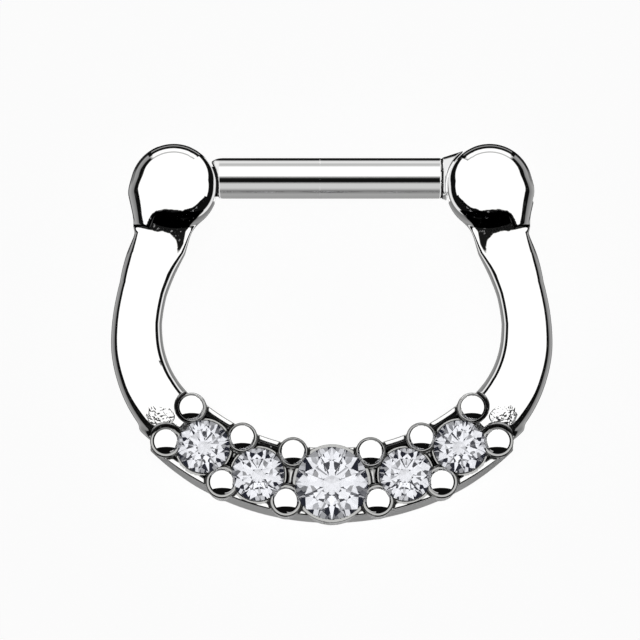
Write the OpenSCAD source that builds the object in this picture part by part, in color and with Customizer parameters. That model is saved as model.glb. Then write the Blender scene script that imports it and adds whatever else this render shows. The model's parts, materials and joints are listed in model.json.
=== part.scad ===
// A clicker ring that lies on its back: the ring's plane is XY, the stones face +Z,
// and the wearable bar runs along X at the +Y side. The origin is on the floor, in the
// middle of the ring's outline.

/* [Hoop] */
// Radius of the hinge ball and the clasp ball
ball_r = 1.33; // [1.28:0.01:1.4]
// Distance between the centres of the two balls
ball_spread = 9.59; // [9.5:0.01:9.7]
// Height of the balls' centres above the middle of the arms' bow
ball_rise = 4.61; // [4.55:0.01:4.7]
// Radius of the round arms
arm_r = 0.76; // [0.7:0.01:0.8]
// Radius of the arms' bow, to the middle of the wire
bow_r = 5.93; // [5.85:0.01:6]
// How far the bow runs above the middle before it goes straight into the ball, in degrees
bow_angle = 25; // [23:1:27]
// Length of the straight stretch that runs into the ball
neck_length = 2; // [1.9:0.05:2.1]
// Radius of the tighter corner below the middle
corner_r = 3.48; // [3.4:0.01:3.6]
// How far that corner turns, in degrees
corner_angle = 40; // [38:1:42]
// Radius of the wide curve along the base
base_r = 7.15; // [7.1:0.01:7.2]

/* [Bar] */
// Radius of the wearable bar, 16 gauge
bar_r = 0.6; // [0.58:0.01:0.62]
// How far the bar lies above the line between the balls' centres
bar_rise = 0.258; // [0.24:0.002:0.28]
// Where the flare at the hinge starts, from the ring's middle
flare_start = 3.32; // [3.28:0.01:3.36]
// Radius that the flare reaches at the ball
flare_r = 0.835; // [0.8:0.005:0.85]
// Radius of the rounded edge at the clasp end
bar_edge_r = 0.22; // [0.15:0.01:0.3]

/* [Hinge and clasp] */
// Thickness of the tongues at both ends of the bar
tongue_t = 0.5; // [0.45:0.01:0.52]
// Width of the slots that take the tongues
slot_w = 0.6; // [0.58:0.01:0.64]
// Radius of the hinge eye
eye_r = 0.82; // [0.78:0.01:0.84]
// Radius of the hinge pin
pin_r = 0.28; // [0.25:0.01:0.3]
// How far the slots reach below the balls' centres
slot_depth = 0.45; // [0.42:0.01:0.48]
// Length of the clasp tongue past the clasp ball's centre
tongue_reach = 0.3; // [0.25:0.01:0.32]

/* [Stones] */
// Diameter of the centre stone
centre_stone_d = 2.2; // [2.16:0.01:2.24]
// Diameter of the four side stones
side_stone_d = 1.58; // [1.54:0.01:1.6]
// Distance of the centre stone from the base curve's centre
centre_stone_arc_r = 7.15; // [7.13:0.01:7.17]
// Distance of the two inner side stones from the base curve's centre, and their angle
inner_stone_arc_r = 7.23; // [7.21:0.01:7.25]
inner_stone_angle = 17.9; // [17.7:0.1:18.1]
// Distance of the two outer side stones from the base curve's centre, and their angle
outer_stone_arc_r = 7.17; // [7.15:0.01:7.19]
outer_stone_angle = 32.6; // [32.4:0.1:32.8]
// Height of the stones' girdles above the floor
girdle_z = 1.64; // [1.62:0.01:1.68]

/* [Setting] */
// Inner and outer radius of the base plate
plate_r = [6.12, 8.19];
// Height of the plate between its rails
plate_h = 1.25; // [1.2:0.01:1.3]
// Height of the rails along the plate's two edges
rail_h = 1.6; // [1.56:0.01:1.62]
// Width of the rails
rail_w = 0.17; // [0.15:0.01:0.18]
// Height of the collar round the centre stone
centre_collar_h = 1.7; // [1.68:0.01:1.72]
// Wall of the collar round the centre stone
centre_collar_w = 0.08; // [0.06:0.01:0.09]
// Height of the collars round the side stones
side_collar_h = 1.6; // [1.58:0.01:1.62]
// Wall of the collars round the side stones
side_collar_w = 0.08; // [0.07:0.01:0.1]
// Radius of the bead posts
post_r = 0.47; // [0.45:0.01:0.48]
// Radius of the beads
bead_r = 0.4; // [0.38:0.01:0.42]
// Height of the beads' centres
bead_z = 1.76; // [1.74:0.01:1.78]

/* [Hidden] */
$fn = 96;

// Clearances
stone_gap = 0.025;
slide_gap = 0.03;
pin_gap = 0.01;
clasp_gap = 0.035;
// More than the ring's thickness, for what cuts right through
past = 4;

// Beads on each side: angle from the middle, distance from the base curve's centre
bead_places = [
    [10.65, 6.31],
    [10.2, 7.79],
    [25.05, 6.36],
    [24.9, 7.84],
    [41, 6.44],
    [40.3, 7.71],
];

// The plate runs past the last beads, then a narrower shoulder meets the arm
plate_angle = 42.5;
shoulder_angle = 46.5;
shoulder_r = [6.34, 7.98];
shoulder_low = 0.3;
shoulder_h = 1.45;
// The plate's back rises towards the arms, from the floor at one angle to the arm's underside
taper_angles = [30, 46];

// Round brilliant cut, as shares of the stone's radius and angles in degrees
table_share = 0.62;
crown_angle = 34;
pavilion_angle = 41;
lower_half_share = 0.24;
girdle_t = 0.04;
// Radius of the open back behind a stone, as a share of the stone's radius
azure_share = 0.66;

// The balls rest on the floor, so the ring's middle plane is as high as their radius
mid_z = ball_r;
ball_x = ball_spread / 2;
// Centre of the base curve, which meets the corner curve without a kink
base_y = sqrt(pow(base_r - corner_r, 2) - pow(bow_r - corner_r, 2));
centre_collar_r = centre_stone_d / 2 + centre_collar_w;
side_stone_places = [
    for (side = [-1, 1])
        each [[side * inner_stone_angle, inner_stone_arc_r], [side * outer_stone_angle, outer_stone_arc_r]]
];
// The origin is half-way between the slotted balls' tops and the centre collar's lowest edge
slotted_top = sqrt(pow(ball_r, 2) - pow(slot_w / 2, 2));
origin_y = (ball_rise + slotted_top + base_y - centre_stone_arc_r - centre_collar_r) / 2;
bar_y = ball_rise + bar_rise;

function polar(r, angle) = [r * cos(angle), r * sin(angle)];
function arc(r, from, to, steps) = [for (i = [0:steps]) polar(r, from + (to - from) * i / steps)];

// Puts its children on the base curve, angle degrees from the middle towards +X
module on_base(angle, r) {
    translate([0, base_y, 0])
        rotate([0, 0, angle])
        translate([0, -r, 0])
        children();
}

// A band of the base curve, as far as half_angle to each side, between two radii and heights
module band(radii, half_angle, low, high) {
    translate([0, base_y, 0])
        rotate([0, 0, -90 - half_angle])
        rotate_extrude(angle = 2 * half_angle)
        translate([radii[0], low])
        square([radii[1] - radii[0], high - low]);
}

// One arm, drawn at +X: bow, straight neck into the ball, corner, and a round end in the base
module arm() {
    rotate_extrude(angle = bow_angle)
        translate([bow_r, 0])
        circle(r = arm_r);
    rotate([0, 0, bow_angle])
        translate([bow_r, 0, 0])
        rotate([-90, 0, 0])
        cylinder(r = arm_r, h = neck_length);
    translate([bow_r - corner_r, 0, 0]) {
        rotate_extrude(angle = -corner_angle)
            translate([corner_r, 0])
            circle(r = arm_r);
        rotate([0, 0, -corner_angle])
            translate([corner_r, 0, 0])
            rotate([90, 0, 0])
            rotate_extrude()
            intersection() {
                circle(r = arm_r);
                square(arm_r);
            }
    }
}

// The base plate with its rails, and the narrower shoulders that meet the arms
module plate() {
    band(plate_r, plate_angle, 0, plate_h);
    band([plate_r[0], plate_r[0] + rail_w], plate_angle, plate_h / 2, rail_h);
    band([plate_r[1] - rail_w, plate_r[1]], plate_angle, plate_h / 2, rail_h);
    band(shoulder_r, shoulder_angle, shoulder_low, shoulder_h);
}

// What the back loses towards the arms, so that it rises to their underside
module back_taper() {
    run = 2 * PI * base_r * (taper_angles[1] - taper_angles[0]) / 360;
    rise = mid_z - arm_r;
    for (side = [-1, 1])
        on_base(side * (taper_angles[0] + taper_angles[1]) / 2, base_r)
            translate([0, 0, rise / 2])
            rotate([0, -side * atan(rise / run), 0])
            translate([side * past / 2, 0, -past / 2])
            cube([past + 2 * run, past, past], center = true);
}

// The collars that the stones sit in, from the plate's back up to their girdles
module collars() {
    on_base(0, centre_stone_arc_r) cylinder(r = centre_collar_r, h = centre_collar_h);
    for (place = side_stone_places)
        on_base(place[0], place[1])
            cylinder(r = side_stone_d / 2 + side_collar_w, h = side_collar_h);
}

// What a stone of diameter d needs cut away: its own room, and the open back behind it
module stone_room(d) {
    r = d / 2 + stone_gap;
    azure_r = azure_share * d / 2;
    table_r = table_share * d / 2 + stone_gap;
    low = girdle_z - girdle_t;
    rotate_extrude()
        polygon([
            [0, -past],
            [azure_r, -past],
            [azure_r, low - (r - azure_r) * tan(pavilion_angle)],
            [r, low],
            [r, girdle_z + stone_gap],
            [table_r, girdle_z + stone_gap + (r - table_r) * tan(crown_angle)],
            [table_r, past],
            [0, past],
        ]);
}

module each_stone_place() {
    on_base(0, centre_stone_arc_r) stone_room(centre_stone_d);
    for (place = side_stone_places)
        on_base(place[0], place[1]) stone_room(side_stone_d);
}

// A bead on its post
module bead() {
    cylinder(r = post_r, h = bead_z - 0.04);
    translate([0, 0, bead_z]) sphere(r = bead_r);
}

module beads() {
    for (place = bead_places, side = [-1, 1])
        on_base(side * place[0], place[1]) bead();
}

// The cast setting, without the stones' room
module setting() {
    difference() {
        union() {
            plate();
            collars();
            beads();
        }
        back_taper();
    }
}

// The slot that both balls have, open at the top, with room for the hinge eye
module hinge_slot() {
    translate([-past / 2, -slot_depth, -slot_w / 2]) cube([past, past, slot_w]);
    translate([0, 0, -slot_w / 2]) cylinder(r = eye_r + 2 * slide_gap, h = slot_w);
}

// The clasp's slot is open at the top and towards the bar, and closed at the outside
module clasp_slot() {
    translate([-slot_depth, -slot_depth, -slot_w / 2]) cube([past, past, slot_w]);
}

// The blind bore for the hinge pin, open at the back of the ball
module pin_bore(r) {
    translate([0, 0, -past]) cylinder(r = r, h = past + pin_reach());
}

// How far the pin reaches in front of the middle plane, into the front cheek
function pin_reach() = slot_w / 2 + 0.55 * (ball_r - slot_w / 2);

module hoop_solid() {
    difference() {
        union() {
            for (side = [0, 1])
                translate([0, 0, mid_z])
                mirror([side, 0, 0]) {
                    translate([ball_x, ball_rise, 0]) sphere(r = ball_r);
                    arm();
                }
            setting();
        }
        each_stone_place();
        translate([ball_x, ball_rise, mid_z]) hinge_slot();
        translate([ball_x, ball_rise, mid_z]) pin_bore(pin_r + pin_gap);
        translate([-ball_x, ball_rise, mid_z]) clasp_slot();
    }
}

module hoop() {
    color("silver")
        translate([0, -origin_y, 0])
        hoop_solid();
}

// The bar's round body, a turned shape about X, with a rounded clasp end and a flared hinge end
module bar_body() {
    tip = -ball_x + 0.84 * ball_r;
    flare_end = ball_x - 0.6 * ball_r;
    rounded = [for (p = arc(bar_edge_r, 90, 180, 6)) [bar_r - bar_edge_r + p[1], tip + bar_edge_r + p[0]]];
    rotate([90, 0, 90])
        rotate_extrude()
        polygon(concat(
            [[0, tip], [0, flare_end], [flare_r, flare_end], [bar_r, flare_start]],
            rounded
        ));
}

// A flat tongue with a round end at the origin, of half-width r, running to x = reach
module tongue(r, reach) {
    outline = concat(arc(r, 90, 270, 24), [[reach, -r], [reach, r]]);
    translate([0, 0, -tongue_t / 2])
        linear_extrude(tongue_t)
        polygon(outline);
}

module bar_solid() {
    tongue_half = 0.9 * bar_r;
    difference() {
        union() {
            difference() {
                translate([0, bar_y, mid_z]) bar_body();
                translate([ball_x, ball_rise, mid_z]) sphere(r = ball_r + slide_gap);
                translate([-ball_x, ball_rise, mid_z]) sphere(r = ball_r + clasp_gap);
                // Below the clasp ball's centre line the end is square, so that it can swing up
                translate([-ball_x, ball_rise - past, mid_z - past / 2])
                    cube([ball_r + clasp_gap, past, past]);
            }
            translate([-ball_x - tongue_reach + tongue_half, bar_y, mid_z])
                tongue(tongue_half, 2 * ball_r);
            translate([ball_x - 1.5 * ball_r, bar_y - 0.8 * bar_r, mid_z - tongue_t / 2])
                cube([1.5 * ball_r, 1.6 * bar_r, tongue_t]);
            translate([ball_x, ball_rise, mid_z - tongue_t / 2]) cylinder(r = eye_r, h = tongue_t);
        }
        translate([ball_x, ball_rise, mid_z - past / 2])
            cylinder(r = pin_r + slide_gap, h = past);
    }
}

module bar() {
    color("gainsboro")
        translate([0, -origin_y, 0])
        bar_solid();
}

// The hinge pin, its back end domed to the ball's own surface
module hinge_pin() {
    color("darkgray")
        translate([ball_x, ball_rise - origin_y, mid_z])
        intersection() {
            sphere(r = ball_r);
            translate([0, 0, -past])
                cylinder(r = pin_r, h = past + pin_reach() - slide_gap);
        }
}

// Round brilliant, girdle at z = 0. Rings of points, from the table down to the point below:
// table corners, star corners, the girdle's upper and lower edges, and the lower halves' corners.
// The girdle's edges follow the facets, so they dip between the facets' corners.
module brilliant(d) {
    r = d / 2;
    table_r = table_share * r;
    star_r = (table_r * cos(22.5) + r) / 2;
    deep_r = lower_half_share * r;
    top = girdle_t / 2;
    low = -girdle_t / 2;
    crown = tan(crown_angle);
    pavilion = tan(pavilion_angle);
    star_z = top + (r - star_r * cos(22.5)) * crown;
    deep_z = low - (r - deep_r * cos(22.5)) * pavilion;
    // Slope of the facets between girdle and star corners, and how far their edge dips
    chord = r * cos(11.25);
    upper_dip = (r - chord) * (star_z - top) / (chord - star_r * cos(11.25));
    lower_dip = (r - chord) * (low - deep_z) / (chord - deep_r * cos(11.25));
    table_points = [for (i = [0:7]) [each polar(table_r, 45 * i), top + (r - table_r) * crown]];
    star_points = [for (i = [0:7]) [each polar(star_r, 45 * i + 22.5), star_z]];
    top_points = [for (i = [0:31]) [each polar(r, 11.25 * i), top - upper_dip * (i % 2)]];
    low_points = [for (i = [0:31]) [each polar(r, 11.25 * i), low + lower_dip * (i % 2)]];
    deep_points = [for (i = [0:7]) [each polar(deep_r, 45 * i + 22.5), deep_z]];
    point = [[0, 0, low - r * pavilion]];
    star = 8;
    upper = 16;
    lower = 48;
    deep = 80;
    tip = 88;
    polyhedron(
        points = concat(table_points, star_points, top_points, low_points, deep_points, point),
        faces = concat(
            [[for (i = [0:7]) 7 - i]],
            [for (i = [0:7]) [i, (i + 1) % 8, star + i]],
            [for (i = [0:7]) [i, star + i, upper + 4 * i, star + (i + 7) % 8]],
            [for (i = [0:7]) [star + i, upper + 4 * i + 2, upper + 4 * i + 1, upper + 4 * i]],
            [for (i = [0:7])
                [star + i, upper + (4 * i + 4) % 32, upper + 4 * i + 3, upper + 4 * i + 2]],
            [for (i = [0:31])
                [upper + i, upper + (i + 1) % 32, lower + (i + 1) % 32, lower + i]],
            [for (i = [0:7]) [lower + 4 * i, lower + 4 * i + 1, lower + 4 * i + 2, deep + i]],
            [for (i = [0:7])
                [lower + 4 * i + 2, lower + 4 * i + 3, lower + (4 * i + 4) % 32, deep + i]],
            [for (i = [0:7]) [lower + 4 * i, deep + i, tip, deep + (i + 7) % 8]]
        )
    );
}

module stone(d, angle, arc_r) {
    color([0.9, 0.93, 0.97, 0.8])
        translate([0, -origin_y, 0])
        on_base(angle, arc_r)
        translate([0, 0, girdle_z])
        brilliant(d);
}

module centre_stone() {
    stone(centre_stone_d, 0, centre_stone_arc_r);
}

module left_inner_stone() {
    stone(side_stone_d, -inner_stone_angle, inner_stone_arc_r);
}

module left_outer_stone() {
    stone(side_stone_d, -outer_stone_angle, outer_stone_arc_r);
}

module right_inner_stone() {
    stone(side_stone_d, inner_stone_angle, inner_stone_arc_r);
}

module right_outer_stone() {
    stone(side_stone_d, outer_stone_angle, outer_stone_arc_r);
}

hoop();
bar();
hinge_pin();
centre_stone();
left_inner_stone();
left_outer_stone();
right_inner_stone();
right_outer_stone();
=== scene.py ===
import json
import math

import bpy
import numpy as np
import openvdb
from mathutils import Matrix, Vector


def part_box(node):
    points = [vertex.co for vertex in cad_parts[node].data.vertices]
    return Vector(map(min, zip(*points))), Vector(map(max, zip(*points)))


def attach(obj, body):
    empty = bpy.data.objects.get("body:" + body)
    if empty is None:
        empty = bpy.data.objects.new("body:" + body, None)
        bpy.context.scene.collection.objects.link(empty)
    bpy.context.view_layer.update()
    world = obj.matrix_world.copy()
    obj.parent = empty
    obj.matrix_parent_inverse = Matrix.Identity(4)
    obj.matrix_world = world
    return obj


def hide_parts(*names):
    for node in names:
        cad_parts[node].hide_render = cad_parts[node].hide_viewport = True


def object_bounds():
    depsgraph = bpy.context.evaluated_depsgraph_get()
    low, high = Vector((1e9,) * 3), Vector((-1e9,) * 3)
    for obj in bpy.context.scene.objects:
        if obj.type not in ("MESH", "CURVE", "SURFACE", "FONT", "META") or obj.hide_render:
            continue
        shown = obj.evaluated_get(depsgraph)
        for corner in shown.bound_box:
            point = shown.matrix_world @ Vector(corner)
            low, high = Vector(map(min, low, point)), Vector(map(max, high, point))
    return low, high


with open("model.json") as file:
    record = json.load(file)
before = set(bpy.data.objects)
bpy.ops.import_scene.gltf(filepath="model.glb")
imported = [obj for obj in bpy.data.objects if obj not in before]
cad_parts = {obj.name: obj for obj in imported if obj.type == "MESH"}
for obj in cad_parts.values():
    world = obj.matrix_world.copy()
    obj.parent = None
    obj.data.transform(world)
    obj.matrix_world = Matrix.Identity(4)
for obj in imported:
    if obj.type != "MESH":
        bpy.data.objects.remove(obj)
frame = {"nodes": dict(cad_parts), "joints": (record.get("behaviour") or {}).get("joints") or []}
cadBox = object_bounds()
mm = 0.001
print("frame loaded with", len(frame["nodes"]), "solids")

# Places from the frame, in millimetres: the hinge ball's centre and the stones
hingePlace = [v / mm for v in frame["joints"][0]["pos_m"]]
ballX, ballY, midZ = hingePlace
stoneNodes = ["centre_stone", "right_inner_stone", "right_outer_stone"]


def stoneBox(node):
    low, high = (np.array(corner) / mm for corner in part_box(node))
    return (low + high) / 2, (high[0] - low[0]) / 2


# Distances are worked out for one half and mirrored, so only the stones at +X are needed
stones = []
for node in stoneNodes:
    middle, radius = stoneBox(node)
    stones.append({"x": middle[0], "y": middle[1], "r": radius})

hoop = {
    "ballR": 1.33,
    "armR": 0.76,
    "bowR": 5.93,
    "bowAngle": math.radians(25),
    "ballRise": 4.61,
    "neckLength": 2.0,
    "cornerR": 3.48,
    "cornerAngle": math.radians(40),
    # Blend of ball and arm at the front, at the outer side and at the inner side
    "neckBlend": (0.1, 0.35, 0.2),
    # How far those blends reach in depth from the middle, and across from the ball's middle
    "blendDepth": 0.2,
    "blendAcross": 0.8,
    # Share of its depth that the arm keeps where it meets the ball, and where it starts to thin
    "neckDepth": 0.42,
    "thinFrom": 1.2,
    "thinRun": 1.5,
    # How much the arm is fuller than its radius, at the outer and the inner side, by place in Y
    "fullAt": (-2.7, -1.42, -0.57, 0.28, 1.13, 1.55, 1.98, 2.4, 2.9, 3.3),
    "fullOuter": (0.03, 0.0, 0.0, -0.02, -0.04, -0.04, 0.005, 0.045, 0.07, 0.1),
    "fullInner": (0.24, 0.165, 0.085, 0.005, 0.0, 0.025, 0.04, 0.055, -0.03, -0.06),
    "baseR": 7.15,
    # Blends of ball and wall, of arm and setting, at the flat back, at the slots and at fine edges
    "wallBlend": 0.012,
    "armBlend": 0.25,
    "backBlend": 0.08,
    "slotBlend": 0.03,
    "fineBlend": 0.02,
}
neck = {
    "wallLean": math.radians(13),
    "wallOut": 0.08,
    "narrowing": 0.44,
    "narrowRun": 1.3,
    # Where the wall starts to stand out from the ball, and over what length
    "outFrom": -0.65,
    "outRun": 0.6,
    "end": 1.455,
    "endAngle": math.radians(15),
    "innerBlend": 0.12,
    "endBlend": 0.06,
    # The inner side of the wall, by distance below the ball's middle
    "innerDown": (0.8, 0.86, 0.9, 0.99, 1.13, 1.25, 1.38),
    "innerOut": (-0.6, 0.2, 0.44, 0.56, 0.64, 0.69, 0.75),
    # The upper edge of the shade painted in the hollow, by distance outward
    "hollowOut": (-0.95, -0.6, -0.3, 0.0, 0.25, 0.5, 0.64, 0.73, 0.79, 0.86),
    "hollowTop": (0.76, 0.85, 0.84, 0.81, 0.81, 0.85, 0.94, 1.08, 1.2, 1.36),
    # The inner edge of the shade painted in the hollow, by distance downward
    "stripDown": (0.66, 0.807, 1.014, 1.176, 1.378, 1.772, 2.2),
    "stripOut": (-1.0, -0.915, -0.718, -0.533, -0.37, -0.3, -0.1),
}
bowY = ballY - hoop["ballRise"]
baseY = bowY + math.sqrt((hoop["baseR"] - hoop["cornerR"]) ** 2 - (hoop["bowR"] - hoop["cornerR"]) ** 2)

setting = {
    "plateR": (6.04, 8.27),
    "wallLean": 0.13,
    "plateAngle": math.radians(42.5),
    "plateTop": 1.25,
    "railTop": 1.6,
    "railW": 0.2,
    "shoulderR": (6.34, 7.98),
    "shoulderAngle": math.radians(46.5),
    "shoulderTop": 1.45,
    # Roundings of the plate's sides, ends and top, and of the rails' outer and inner edges
    "sideBlend": 0.12,
    "endBlend": 0.1,
    "topBlend": 0.05,
    "railBlend": (0.14, 0.12),
    "railFootBlend": 0.03,
    "railTopBlend": 0.01,
    # How far the rails reach down into the plate, and the inner rail's width as a share of the outer's
    "railRoot": 0.3,
    "innerRail": 0.8,
    # The inner wall's lean as a share of the outer's
    "innerLean": 0.3,
    "shoulderBlend": 0.3,
    # The angles between which the flat back rises to the arm's
    "taper": (math.radians(30), math.radians(46)),
    "collarW": (0.08, 0.08, 0.08),
    "collarTop": (1.7, 1.6, 1.6),
    "collarBlend": 0.04,
    "girdleZ": 1.64,
    "girdleH": 0.08,
    "stoneGap": 0.025,
    "crown": math.tan(math.radians(34)),
    "pavilion": math.tan(math.radians(41)),
    "tableShare": 0.62,
    "azureShare": 0.66,
    "postR": (0.452, 0.487),
    "postTop": 1.72,
    "postBlend": 0.13,
    # Groove round each post where the arms stand higher
    "grooveW": 0.05,
    "grooveZ": 1.45,
    "grooveBlend": 0.03,
    "beadR": 0.4,
    "beadTop": 2.16,
    "beadRise": 0.29,
    # Angle from the middle and distance from the base curve's centre
    "beads": [(10.65, 6.31), (10.2, 7.79), (25.05, 6.36), (24.9, 7.84), (41, 6.44), (40.3, 7.71)],
}

joints = {
    # Both slots lie above this place in Y
    "lowest": 1,
    "slotHalf": 0.3,
    "slotDepth": 0.45,
    "eyeRoom": 0.88,
    "boreR": 0.29,
    "boreReach": 0.867,
}


# A distance that cuts nothing
farOff = 9


def smoothMin(a, b, blend):
    share = np.clip(0.5 + 0.5 * (b - a) / blend, 0, 1)
    return b + (a - b) * share - blend * share * (1 - share)


def smoothMax(a, b, blend):
    return -smoothMin(-a, -b, blend)


def arcDistance(x, y, centre, radius, start, end):
    dx = x - centre[0]
    dy = y - centre[1]
    angle = np.arctan2(dy, dx)
    along = np.abs(np.hypot(dx, dy) - radius)
    ends = [
        np.hypot(dx - radius * math.cos(a), dy - radius * math.sin(a)) for a in (start, end)
    ]
    return np.where((angle >= start) & (angle <= end), along, np.minimum(*ends))


def segmentDistance(x, y, a, b):
    run = (b[0] - a[0], b[1] - a[1])
    length2 = run[0] ** 2 + run[1] ** 2
    share = np.clip(((x - a[0]) * run[0] + (y - a[1]) * run[1]) / length2, 0, 1)
    return np.hypot(x - a[0] - share * run[0], y - a[1] - share * run[1])


def armDistance(x, y, z):
    bowEnd = (
        hoop["bowR"] * math.cos(hoop["bowAngle"]),
        bowY + hoop["bowR"] * math.sin(hoop["bowAngle"]),
    )
    neckEnd = (
        bowEnd[0] - hoop["neckLength"] * math.sin(hoop["bowAngle"]),
        bowEnd[1] + hoop["neckLength"] * math.cos(hoop["bowAngle"]),
    )
    corner = (hoop["bowR"] - hoop["cornerR"], bowY)
    pieces = [
        arcDistance(x, y, (0, bowY), hoop["bowR"], 0, hoop["bowAngle"]),
        segmentDistance(x, y, bowEnd, neckEnd),
        arcDistance(x, y, corner, hoop["cornerR"], -hoop["cornerAngle"], 0),
    ]
    flat = np.minimum.reduce(pieces)
    # Outside the line of the arm's middle the distance counts as positive, inside as negative
    slant = (x - bowEnd[0]) * math.cos(hoop["bowAngle"]) + (y - bowEnd[1]) * math.sin(hoop["bowAngle"])
    beyondBow = np.hypot(x, y - bowY) > hoop["bowR"]
    beyondCorner = np.hypot(x - corner[0], y - corner[1]) > hoop["cornerR"]
    beyond = np.where(y > bowEnd[1], slant > 0, np.where(y > bowY, beyondBow, beyondCorner))
    outer = np.interp(y, hoop["fullAt"], hoop["fullOuter"])
    inner = np.interp(y, hoop["fullAt"], hoop["fullInner"])
    flat = np.where(beyond, flat, -flat) - (outer - inner) / 2
    away = np.clip((np.hypot(x - ballX, y - ballY) - hoop["thinFrom"]) / hoop["thinRun"], 0, 1)
    depth = hoop["neckDepth"] + (1 - hoop["neckDepth"]) * away * away * (3 - 2 * away)
    return np.hypot(flat, (z - midZ) / depth) - hoop["armR"] - (outer + inner) / 2


def ballDistance(x, y, z):
    return np.sqrt((x - ballX) ** 2 + (y - ballY) ** 2 + (z - midZ) ** 2) - hoop["ballR"]


# Distance outward and downward from the ball's middle, and beyond the wall's end
def neckPlace(x, y):
    out = x - ballX
    down = ballY - y
    return out, down, out * math.sin(neck["endAngle"]) + down * math.cos(neck["endAngle"]) - neck["end"]


def ridgeDistance(x, y, z):
    # The ball's outer side runs on straight down the neck as a narrowing wall
    out, down, beyond = neckPlace(x, y)
    lean = neck["wallLean"]
    across = out * math.cos(lean) + down * math.sin(lean)
    along = down * math.cos(lean) - out * math.sin(lean)
    wallR = hoop["ballR"] - neck["narrowing"] * np.clip(along, 0, neck["narrowRun"]) ** 2
    over = np.minimum(along, 0)
    share = np.clip((along - neck["outFrom"]) / neck["outRun"], 0, 1)
    middle = hoop["ballR"] - wallR + neck["wallOut"] * share * share * (3 - 2 * share)
    wall = np.sqrt((across - middle) ** 2 + (z - midZ) ** 2 + over * over) - wallR
    inner = np.interp(down, neck["innerDown"], neck["innerOut"]) - out
    wall = smoothMax(wall, inner, neck["innerBlend"])
    return smoothMax(wall, beyond, neck["endBlend"])


def backHeight(turn):
    start, end = setting["taper"]
    rise = midZ - hoop["armR"]
    return rise * np.clip((turn - start) / (end - start), 0, 1.2)


def plateDistance(r, turn, z):
    inner, outer = setting["plateR"]
    lean = setting["wallLean"] * np.clip(z / setting["plateTop"], 0, 1)
    outside = r - (outer - lean)
    inside = inner + setting["innerLean"] * lean - r
    ends = (turn - setting["plateAngle"]) * r
    topBlend = setting["topBlend"]
    outerBlend, innerBlend = setting["railBlend"]
    walls = smoothMax(smoothMax(outside, inside, setting["sideBlend"]), ends, setting["endBlend"])
    floor = smoothMax(walls, z - setting["plateTop"], topBlend)
    railFoot = setting["plateTop"] - setting["railRoot"]
    railTop = smoothMax(z - setting["railTop"], railFoot - z, setting["railTopBlend"])
    railOut = smoothMax(walls, -outside - setting["railW"], topBlend)
    railOut = smoothMax(railOut, railTop, outerBlend)
    railIn = smoothMax(walls, -inside - setting["railW"] * setting["innerRail"], topBlend)
    railIn = smoothMax(railIn, railTop, innerBlend)
    return smoothMin(floor, np.minimum(railOut, railIn), setting["railFootBlend"])


def shoulderDistance(r, turn, z):
    inner, outer = setting["shoulderR"]
    high = setting["shoulderTop"]
    endBlend = setting["endBlend"]
    across = smoothMax(r - outer, inner - r, endBlend)
    across = smoothMax(across, (turn - setting["shoulderAngle"]) * r, endBlend)
    return smoothMax(across, z - high, setting["shoulderBlend"])


def onBase(angle, radius):
    return radius * math.sin(math.radians(angle)), baseY - radius * math.cos(math.radians(angle))


def beadPlaces():
    return [(*onBase(angle, radius), radius > hoop["baseR"]) for angle, radius in setting["beads"]]


def postsDistance(x, y, z):
    side = None
    for bx, by, isOuter in beadPlaces():
        across = np.hypot(x - bx, y - by) - setting["postR"][isOuter]
        side = across if side is None else np.minimum(side, across)
    return smoothMax(side, z - setting["postTop"], setting["postBlend"]), side


def beadsDistance(x, y, z):
    closest = None
    rise = setting["beadRise"]
    foot = setting["beadTop"] - rise
    for bx, by, isOuter in beadPlaces():
        across = np.hypot(np.abs(x) - bx, y - by)
        bead = (np.hypot(across / setting["beadR"], np.maximum(z - foot, 0) / rise) - 1) * rise
        closest = bead if closest is None else np.minimum(closest, bead)
    return np.maximum(closest, setting["postTop"] - 0.15 - z)


def collarsDistance(x, y, z):
    closest = None
    for stone, wall, top in zip(stones, setting["collarW"], setting["collarTop"]):
        across = np.hypot(x - stone["x"], y - stone["y"])
        collar = smoothMax(across - stone["r"] - wall, z - top, setting["collarBlend"])
        closest = collar if closest is None else np.minimum(closest, collar)
    return closest


def stoneRoomDistance(x, y, z):
    closest = None
    girdle = setting["girdleZ"]
    for stone in stones:
        across = np.hypot(x - stone["x"], y - stone["y"])
        r = stone["r"] + setting["stoneGap"]
        azure = setting["azureShare"] * stone["r"]
        table = setting["tableShare"] * stone["r"] + setting["stoneGap"]
        low = girdle - setting["girdleH"] / 2
        pavilionCos = 1 / math.hypot(1, setting["pavilion"])
        crownCos = 1 / math.hypot(1, setting["crown"])
        seat = (across - r - (z - low) / setting["pavilion"]) * setting["pavilion"] * pavilionCos
        lip = setting["girdleH"] / 4
        crownSide = (across - r + (z - girdle - lip) / setting["crown"]) * setting["crown"] * crownCos
        bowl = np.maximum(seat, across - r)
        bowl = np.maximum(bowl, np.minimum(crownSide, across - table))
        room = np.minimum(bowl, across - azure)
        closest = room if closest is None else np.minimum(closest, room)
    return closest


def boxDistance(deltas):
    outside = sum(np.maximum(d, 0) ** 2 for d in deltas)
    return np.sqrt(outside) + np.minimum(np.maximum.reduce(deltas), 0)


def hingeSlotDistance(x, y, z):
    dx = x - ballX
    dy = y - ballY
    across = np.abs(z - midZ) - joints["slotHalf"]
    mouth = np.maximum(-dy - joints["slotDepth"], across)
    eye = np.maximum(np.hypot(dx, dy) - joints["eyeRoom"], across)
    bore = np.maximum(np.hypot(dx, dy) - joints["boreR"], z - midZ - joints["boreReach"])
    return np.minimum(np.minimum(mouth, eye), bore)


def claspSlotDistance(x, y, z):
    dx = x + ballX
    dy = y - ballY
    across = np.abs(z - midZ) - joints["slotHalf"]
    return np.maximum(np.maximum(-dx - joints["slotDepth"], -dy - joints["slotDepth"]), across)


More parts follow.
